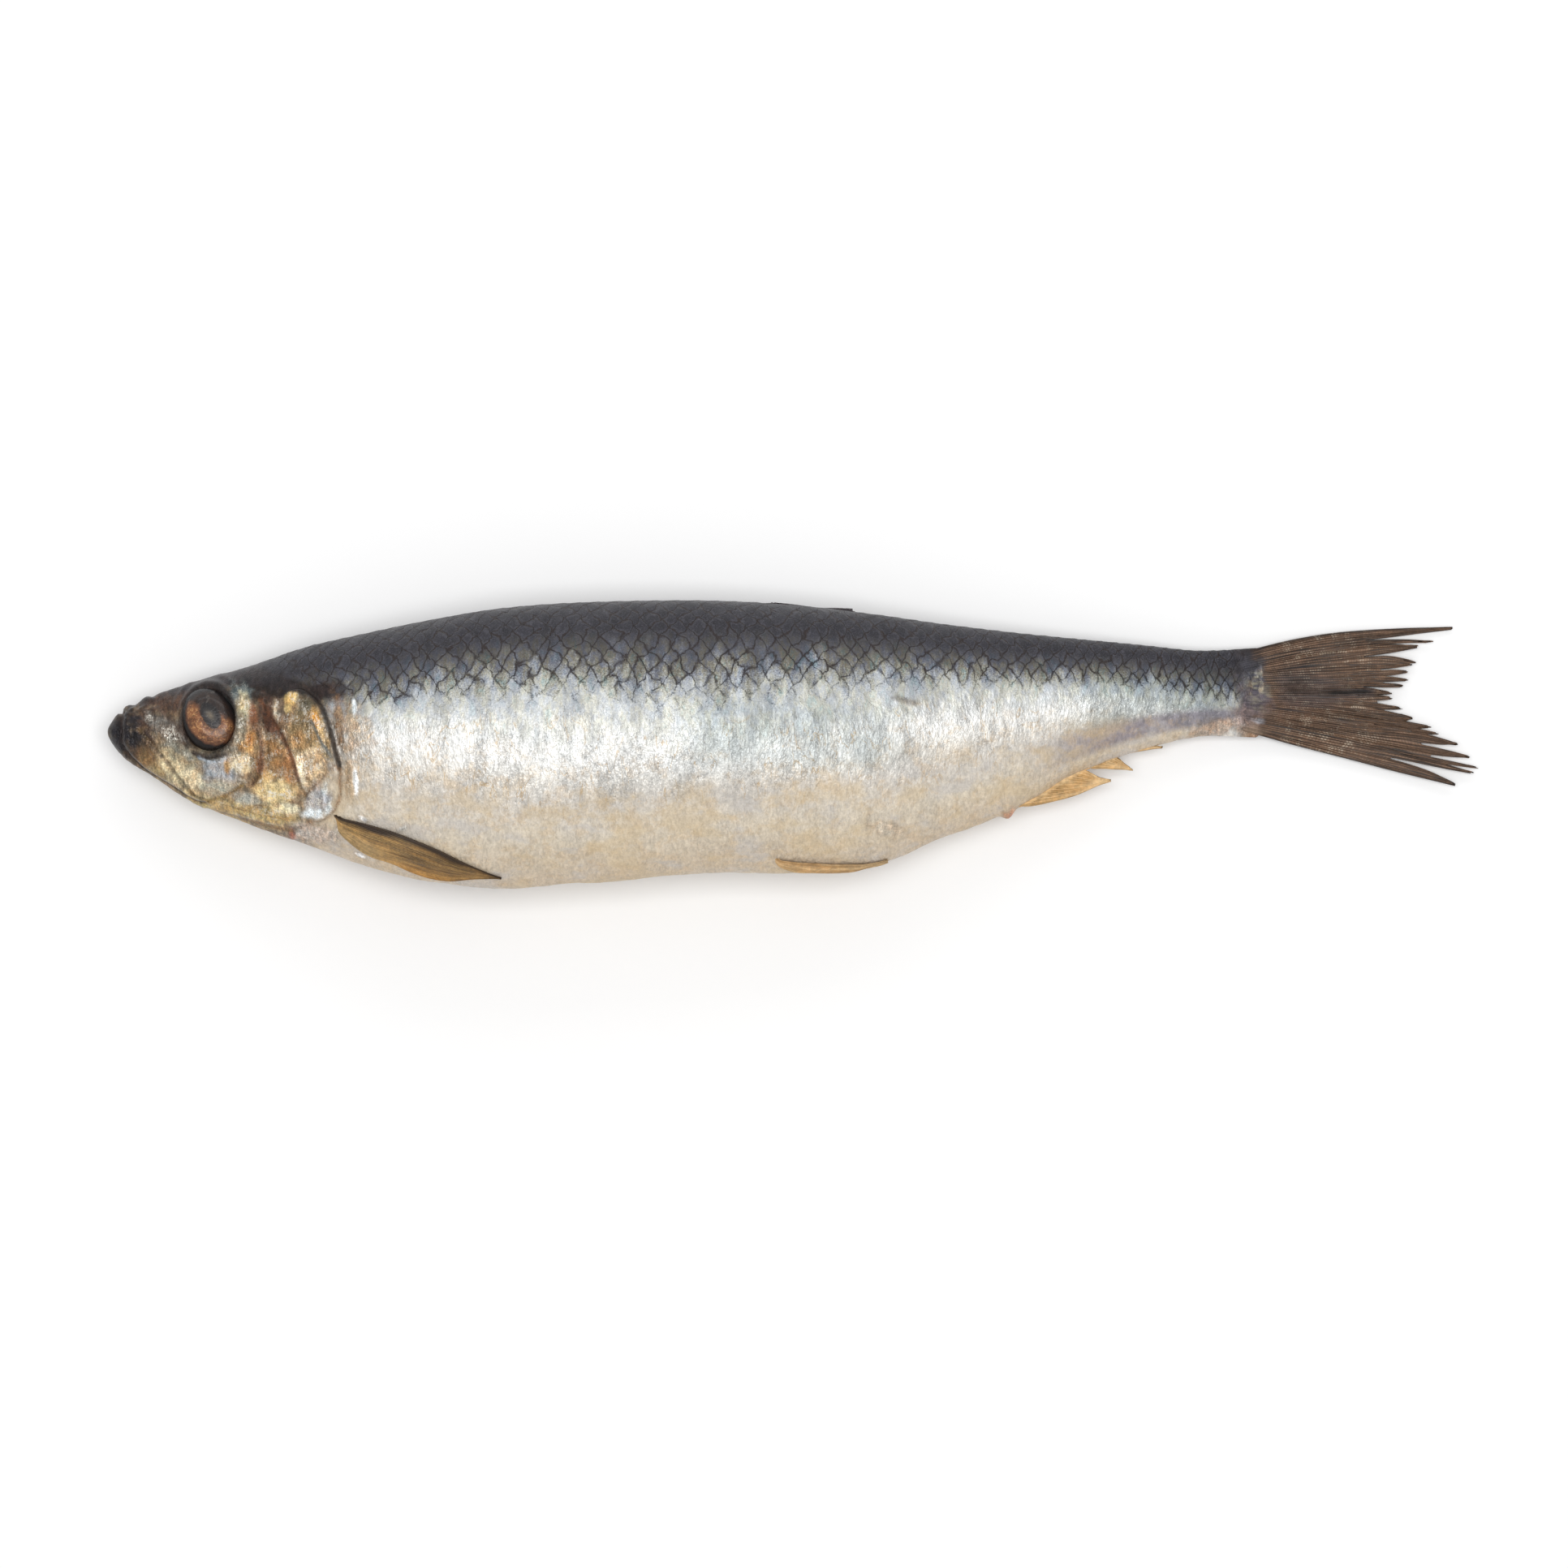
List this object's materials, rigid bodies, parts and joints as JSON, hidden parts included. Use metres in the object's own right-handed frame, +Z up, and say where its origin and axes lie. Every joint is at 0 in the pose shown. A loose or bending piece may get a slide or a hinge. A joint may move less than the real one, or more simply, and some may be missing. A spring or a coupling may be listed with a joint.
{
  "type": "salted herring",
  "caption": "Whole salted herring lying flat on its right flank: slender silvery fish with a dark back, closed gill covers, folded fins and a frayed, forked tail.",
  "frame": {"origin": "on the surface that the fish lies on, under the middle of its length and depth", "axes": "+X from the snout to the tail, +Y from the belly to the back, +Z up out of the left flank"},
  "size_m": [0.31, 0.066, 0.038],
  "materials": {
    "skin": "wet silvery scaled skin, charcoal on the back, bright silver on the flank, beige on the belly",
    "eye": "wet clouded eye, copper iris and dark grey pupil",
    "dark_fin": "dark brown translucent membrane on fine jointed rays",
    "pale_fin": "amber translucent membrane on fine rays, dark brown leading ray"
  },
  "bodies": {
    "root": {"body": "skin", "left_eye": "eye", "right_eye": "eye", "dorsal_fin": "dark_fin", "tail_fin": "dark_fin", "anal_fin": "pale_fin", "left_pectoral_fin": "pale_fin", "right_pectoral_fin": "pale_fin", "left_pelvic_fin": "pale_fin", "right_pelvic_fin": "pale_fin"}
  },
  "joints": []
}
